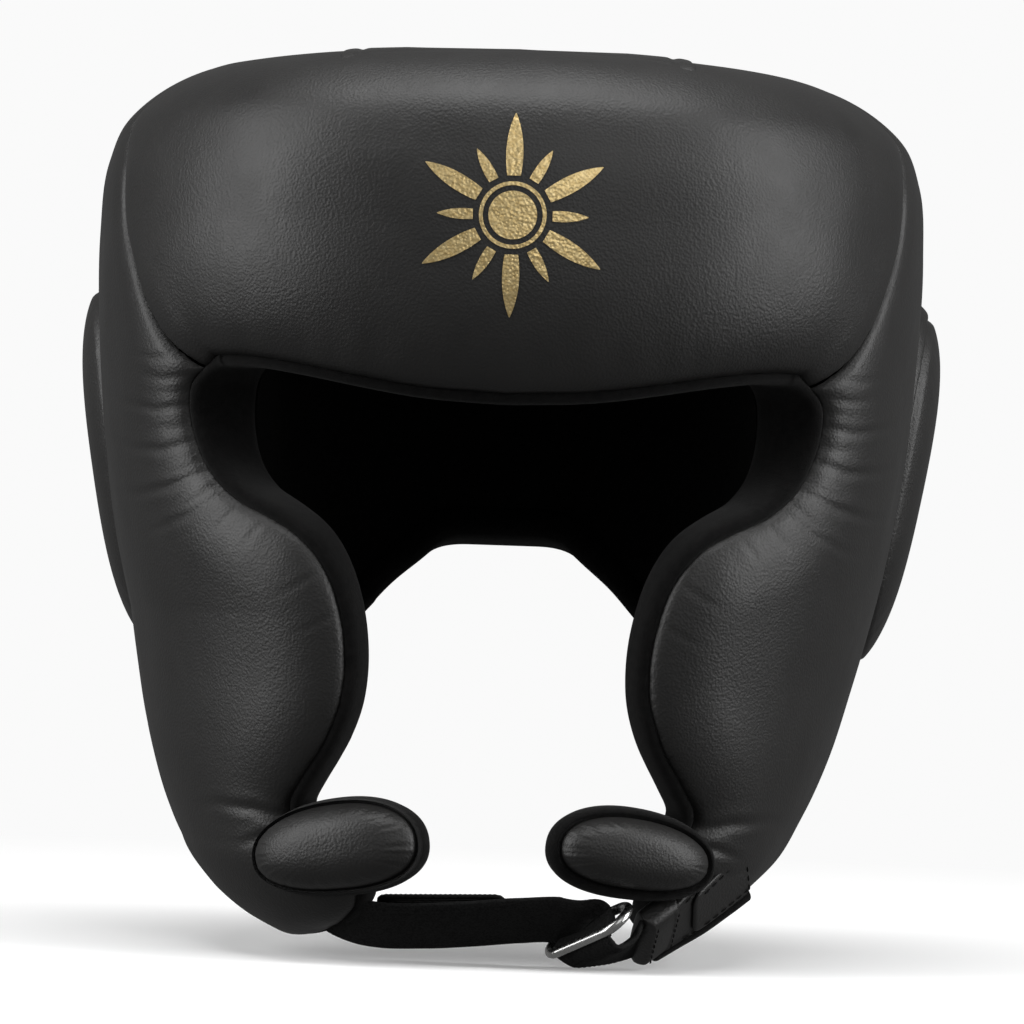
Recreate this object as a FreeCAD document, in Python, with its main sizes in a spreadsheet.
import FreeCAD, Part
import os

from FreeCAD import Placement, Rotation, Vector

# Padded boxing headguard. Millimetres, +Z up, the face opening towards -Y,
# origin at the middle of the wearer's head. "right" and "left" are the sides
# seen by somebody who stands in front of the wearer: +X is right.

os.makedirs("parts", exist_ok=True)
doc = FreeCAD.newDocument("headguard")
sheet = doc.addObject("Spreadsheet::Sheet", "Dims")

X_AXIS, Y_AXIS, Z_AXIS = Vector(1, 0, 0), Vector(0, 1, 0), Vector(0, 0, 1)
SIDES = {"left": -1, "right": 1}

# Levels of the padded shell, top to bottom: height, half width, reach to the
# front and reach to the rear. The first list is the outer skin, the second
# is the inner lining against the head, which runs out past both rims.
OUTER_LEVELS = (
    (108.4, 82, 102, 96),
    (102.5, 97, 117, 107),
    (90, 107.5, 127, 114),
    (60, 112, 132, 118),
    (20, 111, 130, 118),
    (-20, 105.5, 124, 115),
    (-60, 94.5, 118, 104),
    (-92, 82.5, 115, 80),
    (-110, 69.5, 110, 45),
    (-122, 50, 98, 8),
)
INNER_LEVELS = (
    (118, 54, 72, 72),
    (104, 62, 82, 82),
    (75, 74, 93, 91),
    (40, 79, 97, 95),
    (0, 80, 98, 95),
    (-40, 76, 97, 90),
    (-80, 67, 95, 76),
    (-110, 53, 90, 38),
    (-130, 28, 78, -20),
)

DIMS = {
    # layers of the padded walls
    "cover_thick": 1.5,
    "lining_thick": 2,
    "binding_thick": 2.5,
    "reach": 160,
    # panel borders
    "forehead_back": -8,
    "rear_seam": 45,
    "cheek_top": -14,
    # face opening
    "brow_mid": 17.7,
    "brow_corner": 24,
    "eye_half": 84,
    "cheek_half_gap": 41.5,
    "jaw_half_gap": 56,
    "left_tip": 34,
    "right_tip": 50,
    # ear pads
    "ear_x": 100.5,
    "ear_y": 12,
    "ear_z": -1,
    "ear_thick": 13,
    "ear_deep": 36,
    "ear_tall": 52,
    "ear_lean": 10,
    # chin wings
    "wing_x": 38.5,
    "wing_y": -106.5,
    "wing_z": -99.5,
    "wing_long": 23.5,
    "wing_deep": 10.5,
    "wing_tall": 12.3,
    "wing_skin": 1.5,
    "wing_edge": 2,
    # crown
    "tongue_wide": 92,
    "tongue_hinge": -74,
    "tongue_front": -92,
    "tongue_end": 22,
    "tongue_base": 109,
    "tongue_thick": 3.2,
    "tongue_skin": 0.8,
    "panel_front": -15,
    "panel_base": 101.4,
    "panel_top": 106.9,
    "patch_thick": 1,
    "patch_gap": 0.3,
    "crown_patch_wide": 70,
    "crown_patch_long": 30,
    # rear strap
    "strap_back_half": 54,
    "strap_back_anchor": 20,
    "strap_back_tall": 42,
    "strap_back_z": 38,
    "strap_back_thick": 2.5,
    "back_patch_long": 40,
    # badge
    "badge_radius": 26,
    "badge_z": 64,
    "badge_thick": 0.4,
    # chin strap, tail, ring, tab and keeper
    "web_wide": 20,
    "web_thick": 1.8,
    "tail_long": 34,
    "tail_wide": 18,
    "tail_thick": 1.6,
    "ring_long": 25,
    "ring_gap": 8,
    "ring_wire": 2.6,
    "tab_wide": 20,
    "tab_thick": 2.4,
    "tab_patch_wide": 15,
    "tab_patch_thick": 1.2,
    "tab_lift": 3.2,
    "keeper_wide": 24,
    "keeper_thick": 8,
}


def fill_sheet():
    rows = list(DIMS.items())
    for key, levels in (("outer", OUTER_LEVELS), ("inner", INNER_LEVELS)):
        for i, values in enumerate(levels):
            names = ("level", "half", "front", "rear")
            rows += [(f"{key}_{n}_{i}", v) for n, v in zip(names, values)]
    for line, (alias, value) in enumerate(rows, start=1):
        sheet.set(f"A{line}", alias)
        sheet.set(f"B{line}", str(value))
        sheet.setAlias(f"B{line}", alias)
    doc.recompute()


fill_sheet()


def dim(alias):
    return float(sheet.get(alias))


def bind(obj, **cells):
    for prop, expression in cells.items():
        obj.setExpression(prop.replace("__", "."), expression)
    return obj


nodes = []


def node(obj, label):
    obj.Label = label
    nodes.append(obj)
    return obj


def helper(kind):
    return doc.addObject(kind, "tool")


def cut(base, tool):
    obj = helper("Part::Cut")
    obj.Base, obj.Tool = base, tool
    return obj


def common(base, tool):
    obj = helper("Part::Common")
    obj.Base, obj.Tool = base, tool
    return obj


def box(x, y, z, long, wide, tall):
    """A box from its low corner and sizes, each a sheet expression."""
    return bind(helper("Part::Box"), Length=long, Width=wide, Height=tall,
                Placement__Base__x=x, Placement__Base__y=y,
                Placement__Base__z=z)


# --- the padded shell in layers -------------------------------------------

def level_ellipse(key, i, grow, lift):
    ring = helper("Part::Ellipse")
    ring.Placement = Placement(Vector(), Rotation(Z_AXIS, 90))
    front, rear = f"Dims.{key}_front_{i}", f"Dims.{key}_rear_{i}"
    return bind(ring, MajorRadius=f"({front} + {rear}) / 2 + {grow}",
                MinorRadius=f"Dims.{key}_half_{i} + {grow}",
                Placement__Base__y=f"({rear} - {front}) / 2",
                Placement__Base__z=f"Dims.{key}_level_{i} + {lift}")


def shell_solid(key, levels, grow="0"):
    """The closed solid through the levels, grown all round by `grow`."""
    last = len(levels) - 1
    rings = []
    for i in range(len(levels)):
        lift = {0: f"({grow})", last: f"-({grow})"}.get(i, "0")
        rings.append(level_ellipse(key, i, f"({grow})", lift))
    loft = helper("Part::Loft")
    loft.Sections = rings
    loft.Solid = True
    return loft


outer = shell_solid("outer", OUTER_LEVELS)
foam_outer = shell_solid("outer", OUTER_LEVELS, "-Dims.cover_thick")
lining_outer = shell_solid("inner", INNER_LEVELS, "Dims.lining_thick")
inner = shell_solid("inner", INNER_LEVELS)


# --- outlines that divide the shell into panels ---------------------------

def curve(points):
    spline = Part.BSplineCurve()
    spline.interpolate(points)
    return spline.toShape()


def lines(points):
    return [Part.LineSegment(a, b).toShape() for a, b in zip(points, points[1:])]


def prism(edges, length, label):
    """A closed flat outline run out along `length`."""
    tool = helper("Part::Feature")
    tool.Shape = Part.Face(Part.Wire(edges)).extrude(length)
    tool.Label = label
    return tool


def opening_side(sign, grow, tip):
    """One side of the face opening: eye corner, cheek bulge, jaw hollow."""
    eye, gap, jaw = dim("eye_half"), dim("cheek_half_gap"), dim("jaw_half_gap")
    corner = dim("brow_corner")
    run = ((eye - 1, corner), (eye, corner - 10), (eye - 2, 2), (eye - 9, -8),
           (eye - 22, -16), (gap + 11, -25), (gap + 3.5, -38), (gap, -55),
           (gap + 1.5, -68), (gap + 8, -80), (jaw - 1, -88), (jaw, -95),
           (jaw - 4, -103), (tip, -111))
    return [Vector(sign * (x + grow), -dim("reach"), z) for x, z in run]


def opening_prism(grow, label):
    """The face opening and the gap at the chin, as a solid run front to back."""
    left = opening_side(-1, grow, dim("left_tip"))
    right = opening_side(1, grow, dim("right_tip"))
    mid = Vector(0, -dim("reach"), dim("brow_mid") + grow)
    for point in (left[0], right[0]):
        point.z += grow
    brow_half = [Vector(s * dim("eye_half") / 2, -dim("reach"),
                        dim("brow_mid") + grow + 1.5) for s in (-1, 1)]
    brow = curve([left[0], brow_half[0], mid, brow_half[1], right[0]])
    floor = [Vector(p.x, p.y, -dim("reach")) for p in (left[-1], right[-1])]
    base = lines([left[-1], floor[0], floor[1], right[-1]])
    depth = Vector(0, dim("reach") - 20, 0)
    return prism([brow, curve(left), *base, curve(right)], depth, label)


def forehead_prism():
    """The forehead panel, from its lower corners up both sides and over."""
    run = ((79, 12), (89, 27), (99, 47), (104, 70), (102, 92), (92, 108))
    right = [Vector(x, -dim("reach"), z) for x, z in run]
    left = [Vector(-p.x, p.y, p.z) for p in right]
    top = [Vector(p.x, p.y, dim("reach")) for p in (left[-1], right[-1])]
    over = lines([left[-1], top[0], top[1], right[-1]])
    depth = Vector(0, dim("reach") + dim("forehead_back"), 0)
    base = lines([left[0], right[0]])
    return prism([curve(left), *over, curve(right), *base], depth, "forehead_region")


def neck_prism():
    """What is open below the jaw and the sides, seen from the side."""
    run = ((130, -58), (92, -62), (55, -69), (15, -82), (-25, -100), (-62, -124))
    edge = [Vector(-dim("reach"), y, z) for y, z in run]
    low = [Vector(-dim("reach"), p.y, -dim("reach")) for p in (edge[0], edge[-1])]
    base = lines([edge[-1], low[1], low[0], edge[0]])
    return prism([curve(edge), *base], Vector(2 * dim("reach"), 0, 0), "neck_region")


def nape_prism():
    """The arch under the rear pad, seen from behind."""
    run = ((110, -72), (80, -67), (60, -58), (46, -47), (35, -35), (25, -26),
           (14, -20.5), (0, -20))
    right = [Vector(x, 0, z) for x, z in run]
    left = [Vector(-p.x, 0, p.z) for p in reversed(right[:-1])]
    low = [Vector(sign * run[0][0], 0, -dim("reach")) for sign in (-1, 1)]
    base = lines([left[-1], low[0], low[1], right[0]])
    return prism([curve(right + left), *base], Vector(0, dim("reach"), 0),
                 "nape_region")


clear_opening = opening_prism(-dim("binding_thick"), "clear_opening")
leather_opening = opening_prism(0, "leather_opening")
forehead_region = forehead_prism()
neck_region = helper("Part::Fuse")
neck_region.Base, neck_region.Tool = neck_prism(), nape_prism()
behind_seam = box("-Dims.reach", "Dims.rear_seam", "-Dims.reach",
                  "2 * Dims.reach", "Dims.reach", "2 * Dims.reach")


def half_space(sign):
    start = "0" if sign > 0 else "-Dims.reach"
    return box(start, "-Dims.reach", "-Dims.reach",
               "Dims.reach", "2 * Dims.reach", "2 * Dims.reach")


half = {side: half_space(sign) for side, sign in SIDES.items()}
above_cheek = box("-Dims.reach", "-Dims.reach", "Dims.cheek_top",
                  "2 * Dims.reach", "2 * Dims.reach", "Dims.reach")

# the room that each panel takes up, as a solid cut out of plain space
open_front = cut(leather_opening, clear_opening)
regions = {
    "forehead": cut(forehead_region, leather_opening),
    "rear": cut(behind_seam, neck_region),
}
for name in SIDES:
    room = cut(cut(half[name], forehead_region), behind_seam)
    regions[name] = cut(cut(room, leather_opening), neck_region)

# cover, foam and lining of the whole guard, before the panels are parted
layers = {
    "cover": cut(cut(outer, foam_outer), lining_outer),
    "foam": cut(foam_outer, lining_outer),
    "lining": common(cut(lining_outer, inner), outer),
}
whole_wall = cut(outer, inner)


def forehead_and_rear_parts():
    for layer, solid in layers.items():
        for panel in ("forehead", "rear"):
            node(common(solid, regions[panel]), f"{panel}_{layer}")


def side_parts(side):
    room = regions[side]
    node(common(layers["cover"], room), f"side_cover_{side}")
    node(common(layers["lining"], room), f"side_lining_{side}")
    node(common(layers["foam"], common(room, above_cheek)), f"temple_foam_{side}")
    node(common(layers["foam"], cut(room, above_cheek)), f"cheek_foam_{side}")


def binding_parts():
    brow_zone = box("-Dims.eye_half + 6", "-Dims.reach", "Dims.brow_mid - 6",
                    "2 * (Dims.eye_half - 6)", "2 * Dims.reach", "Dims.reach")
    room = cut(open_front, neck_region)
    node(common(whole_wall, common(room, brow_zone)), "brow_binding")
    for side in SIDES:
        edge = common(cut(room, brow_zone), half[side])
        node(common(whole_wall, edge), f"face_binding_{side}")


# --- ear pads and chin wings ----------------------------------------------

def ellipsoid(base, radii, shrink, turn):
    """An egg with its middle at `base` and radii along its own X, Y and Z."""
    egg = helper("Part::Ellipsoid")
    egg.Placement = Placement(Vector(), turn)
    along_x, along_y, along_z = (f"{r} - {shrink}" for r in radii)
    return bind(egg, Radius2=along_x, Radius3=along_y, Radius1=along_z,
                Placement__Base__x=base[0], Placement__Base__y=base[1],
                Placement__Base__z=base[2])


def ear_parts(side, sign):
    base = (f"{sign} * Dims.ear_x", "Dims.ear_y", "Dims.ear_z")
    radii = ("Dims.ear_thick", "Dims.ear_deep", "Dims.ear_tall")
    turn = Rotation(Y_AXIS, sign * dim("ear_lean"))
    skin = ellipsoid(base, radii, "0", turn)
    core = ellipsoid(base, radii, "Dims.cover_thick", turn)
    node(cut(cut(skin, core), outer), f"ear_cover_{side}")
    node(cut(core, outer), f"ear_foam_{side}")


def wing_parts(side, sign, wall):
    """A padded oval: leather front, suede back, bound edge, foam inside."""
    base = (f"{sign} * Dims.wing_x", "Dims.wing_y", "Dims.wing_z")
    radii = ("Dims.wing_long", "Dims.wing_tall", "Dims.wing_deep")
    turn = Rotation(Z_AXIS, 90 - 90 * sign) * Rotation(X_AXIS, 90)
    skin = cut(ellipsoid(base, radii, "0", turn), wall)
    core = cut(ellipsoid(base, radii, "Dims.wing_skin", turn), wall)
    husk = cut(skin, core)
    span = "2 * Dims.reach"
    edge = box("-Dims.reach", "Dims.wing_y - Dims.wing_edge", "-Dims.reach",
               span, "2 * Dims.wing_edge", span)
    front = box("-Dims.reach", "Dims.wing_y - Dims.wing_edge - Dims.reach",
                "-Dims.reach", span, "Dims.reach", span)
    back = box("-Dims.reach", "Dims.wing_y + Dims.wing_edge", "-Dims.reach",
               span, "Dims.reach", span)
    node(common(husk, front), f"chin_wing_cover_{side}")
    node(common(husk, edge), f"chin_wing_binding_{side}")
    node(common(husk, back), f"chin_wing_lining_{side}")
    node(core, f"chin_wing_foam_{side}")


# --- crown ----------------------------------------------------------------

def crown_parts():
    tongue_top = "Dims.tongue_base + Dims.tongue_thick"
    wide = "Dims.tongue_wide"
    left = "-Dims.tongue_wide / 2"
    root = box(left, "Dims.tongue_front", "Dims.outer_level_0", wide,
               "Dims.tongue_hinge - Dims.tongue_front - Dims.patch_gap",
               f"{tongue_top} - Dims.outer_level_0")
    node(root, "crown_tongue_root")
    long = "Dims.tongue_end - Dims.tongue_hinge"
    skin = box(left, "Dims.tongue_hinge", "Dims.tongue_base", wide, long,
               "Dims.tongue_thick")
    edge = "Dims.tongue_skin"
    core = box(f"{left} + {edge}", f"Dims.tongue_hinge + {edge}",
               f"Dims.tongue_base + {edge}", f"{wide} - 2 * {edge}",
               f"{long} - 2 * {edge}", f"Dims.tongue_thick - 2 * {edge}")
    node(cut(skin, core), "crown_tongue_cover")
    node(core, "crown_tongue_foam")
    panel = box("-Dims.reach", "Dims.panel_front", "Dims.panel_base",
                "2 * Dims.reach", "Dims.reach", "Dims.panel_top - Dims.panel_base")
    node(common(inner, panel), "crown_panel")
    patch = ("-Dims.crown_patch_wide / 2",
             "Dims.tongue_end - Dims.crown_patch_long - 2")
    size = ("Dims.crown_patch_wide", "Dims.crown_patch_long")
    node(box(*patch, "Dims.panel_top", *size, "Dims.patch_thick"),
         "crown_loop_patch")
    node(box(*patch, "Dims.panel_top + Dims.patch_thick + Dims.patch_gap", *size,
             "Dims.tongue_base - Dims.panel_top - Dims.patch_thick"
             " - Dims.patch_gap"), "crown_hook_patch")


# --- rear strap -----------------------------------------------------------

def over_skin(low, high):
    """A layer that lies on the outer skin between two heights above it."""
    upper = shell_solid("outer", OUTER_LEVELS, high)
    lower = outer if low == "0" else shell_solid("outer", OUTER_LEVELS, low)
    return cut(upper, lower)


def back_window(x_low, long):
    return box(x_low, "0", "Dims.strap_back_z - Dims.strap_back_tall / 2", long,
               "Dims.reach", "Dims.strap_back_tall")


def rear_strap_parts():
    loop_top = "Dims.patch_thick"
    hook_low = "Dims.patch_thick + Dims.patch_gap"
    strap_low = "2 * Dims.patch_thick + Dims.patch_gap"
    strap_top = "2 * Dims.patch_thick + Dims.patch_gap + Dims.strap_back_thick"
    end = "Dims.strap_back_half"
    free = back_window(f"-{end}", f"2 * {end}")
    sewn = back_window(f"-{end} - Dims.strap_back_anchor",
                       "Dims.strap_back_anchor - Dims.patch_gap")
    tip = back_window(f"{end} - Dims.back_patch_long - 4", "Dims.back_patch_long")
    node(common(over_skin(strap_low, strap_top), free), "rear_strap")
    node(common(over_skin("0", strap_top), sewn), "rear_strap_anchor")
    node(common(over_skin("0", loop_top), tip), "rear_loop_patch")
    node(common(over_skin(hook_low, strap_low), tip), "rear_hook_patch")


def badge_part():
    disc = helper("Part::Cylinder")
    disc.Placement = Placement(Vector(), Rotation(X_AXIS, 90))
    bind(disc, Radius="Dims.badge_radius", Height="Dims.reach",
         Placement__Base__z="Dims.badge_z")
    node(common(over_skin("0", "Dims.badge_thick"), disc), "forehead_badge")


# --- chin strap, its tail, ring, tab and keeper ---------------------------
# Each station is the middle of the webbing and the way its width points.
FLAT = Vector(0, -0.8, 0.6)
WEB_STATIONS = (
    (Vector(-46, -82, -117), FLAT),
    (Vector(-30, -88, -119.5), FLAT),
    (Vector(8, -94, -118), FLAT),
    (Vector(19, -94.5, -117.5), Vector(0.35, -0.75, 0.55)),
    (Vector(26, -95, -119), Vector(0.68, -0.65, 0.36)),
    (Vector(29.5, -95, -124), Vector(0.66, -0.68, 0.30)),
    (Vector(34.5, -92, -124), Vector(0.40, -0.82, 0.40)),
    (Vector(41, -87.5, -119), Vector(0.0, -0.87, 0.48)),
)
TAB_STATIONS = (
    (Vector(41.5, -87.2, -118.6), Vector(0.0, -0.87, 0.48)),
    (Vector(52, -80.5, -110.5), Vector(-0.22, -0.82, 0.52)),
    (Vector(64, -70, -100.5), Vector(-0.40, -0.78, 0.48)),
)
KEEPER_STATIONS = (
    (Vector(38.5, -89.3, -121), Vector(0.0, -0.87, 0.48)),
    (Vector(46.0, -84.4, -115.2), Vector(0.0, -0.87, 0.48)),
)


def frame_at(stations, i):
    """Middle, width direction and inward face direction at a station."""
    here, width = stations[i]
    low, high = max(i - 1, 0), min(i + 1, len(stations) - 1)
    along = stations[high][0] - stations[low][0]
    width = Vector(width).normalize()
    normal = width.cross(along).normalize()
    if normal.z < 0:
        normal = -normal
    return here, width, normal


def web_rectangle(stations, i, wide, thick, offset=0.0):
    middle, width, normal = frame_at(stations, i)
    middle = middle + normal * offset
    across, up = width * (wide / 2), normal * (thick / 2)
    corners = [middle - across - up, middle + across - up, middle + across + up,
               middle - across + up]
    return Part.makePolygon([*corners, corners[0]])


def band(stations, wide, thick, offset=0.0):
    """Webbing as straight flat runs from station to station."""
    rings = [web_rectangle(stations, i, wide, thick, offset)
             for i in range(len(stations))]
    return Part.makeLoft(rings, True, True)


def feature(shape):
    obj = helper("Part::Feature")
    obj.Shape = shape
    return obj


def strap_frame():
    """The straight run that carries the tail: start, along, width, inward."""
    start, end = WEB_STATIONS[1][0], WEB_STATIONS[2][0]
    along = (end - start).normalize()
    width = (FLAT - along * FLAT.dot(along)).normalize()
    inward = width.cross(along)
    if inward.z < 0:
        inward = -inward
    return start, end, along, width, inward


def on_strap(label, long, wide, thick, height, back):
    """A flat box on the strap's inner face that ends `back` before its end."""
    start, end, along, width, inward = strap_frame()
    plate = helper("Part::Box")
    bind(plate, Length=long, Width=wide, Height=thick)
    size = [plate.evalExpression(value) for value in (long, wide, height, back)]
    long_mm, wide_mm, height_mm, back_mm = (float(getattr(v, "Value", v))
                                            for v in size)
    low = end - along * (back_mm + long_mm) - width * (wide_mm / 2)
    side = inward.cross(along)
    if side.dot(width) < 0:
        low = low + width * wide_mm
    turn = Rotation(along, side, inward, "XYZ")
    plate.Placement = Placement(low + inward * height_mm, turn)
    return node(plate, label)


def chin_strap_parts(wall):
    web = cut(feature(band(WEB_STATIONS, dim("web_wide"), dim("web_thick"))), wall)
    node(web, "chin_strap")
    face = "Dims.web_thick / 2"
    patch, gap = "Dims.patch_thick", "Dims.patch_gap"
    on_strap("strap_loop_patch", "Dims.tail_long - 8", "Dims.tail_wide", patch,
             face, "8")
    on_strap("tail_hook_patch", "Dims.tail_long - 8", "Dims.tail_wide", patch,
             f"{face} + {patch} + {gap}", "8")
    on_strap("strap_tail", "Dims.tail_long", "Dims.tail_wide", "Dims.tail_thick",
             f"{face} + 2 * {patch} + {gap}", "3")
    return web


def ring_part():
    """A wire ring round the webbing, its long bars across the width."""
    middle, width, normal = frame_at(WEB_STATIONS, 4)
    half_long = (dim("ring_long") + dim("ring_wire")) / 2
    half_gap = (dim("ring_gap") + dim("ring_wire")) / 2
    straight = half_long - half_gap

    def at(u, v):
        return middle + width * u + normal * v

    arcs = [Part.Arc(at(end * straight, half_gap),
                     at(end * (straight + half_gap), 0),
                     at(end * straight, -half_gap)).toShape()
            for end in (1, -1)]
    bars = [Part.LineSegment(at(straight, v), at(-straight, v)).toShape()
            for v in (half_gap, -half_gap)]
    path = Part.Wire(Part.__sortEdges__([*arcs, *bars]))
    circle = Part.Wire(Part.makeCircle(dim("ring_wire") / 2, at(0, half_gap),
                                       width))
    tube = path.makePipeShell([circle], True, True)
    node(feature(tube), "strap_ring")


def tab_parts(wall, web):
    """Leather tab on the right jaw, its raised patch and the sewn keeper."""
    lift, thick = dim("tab_lift"), dim("tab_thick")
    tab = cut(feature(band(TAB_STATIONS, dim("tab_wide"), thick, -lift)), wall)
    node(tab, "chin_tab")
    rise = lift + (thick + dim("tab_patch_thick")) / 2
    patch = band(TAB_STATIONS[1:], dim("tab_patch_wide"), dim("tab_patch_thick"),
                 -rise)
    node(cut(cut(feature(patch), wall), tab), "chin_tab_patch")
    block = feature(band(KEEPER_STATIONS, dim("keeper_wide"), dim("keeper_thick"),
                         -lift / 2))
    node(cut(cut(cut(block, web), tab), wall), "chin_keeper")


forehead_and_rear_parts()
for name in SIDES:
    side_parts(name)
binding_parts()
walls = {}
for name in SIDES:
    room = cut(cut(half[name], clear_opening), neck_region)
    walls[name] = common(whole_wall, room)
for name, way in SIDES.items():
    ear_parts(name, way)
    wing_parts(name, way, walls[name])
crown_parts()
rear_strap_parts()
badge_part()
chin_web = chin_strap_parts(walls["left"])
ring_part()
tab_parts(walls["right"], chin_web)

doc.recompute()

for obj in doc.Objects:
    if "Invalid" in obj.State or "Error" in obj.State:
        raise RuntimeError(f"{obj.Label} ({obj.TypeId}) did not build: {obj.State}")
for obj in nodes:
    shape = obj.Shape
    if shape.isNull() or not shape.isValid() or not shape.Solids:
        raise RuntimeError(f"{obj.Label} is not a valid solid")
for obj in nodes:
    obj.Shape.exportStep(f"parts/{obj.Label}.step")
    print(obj.Label, len(obj.Shape.Solids), round(obj.Shape.Volume, 1))
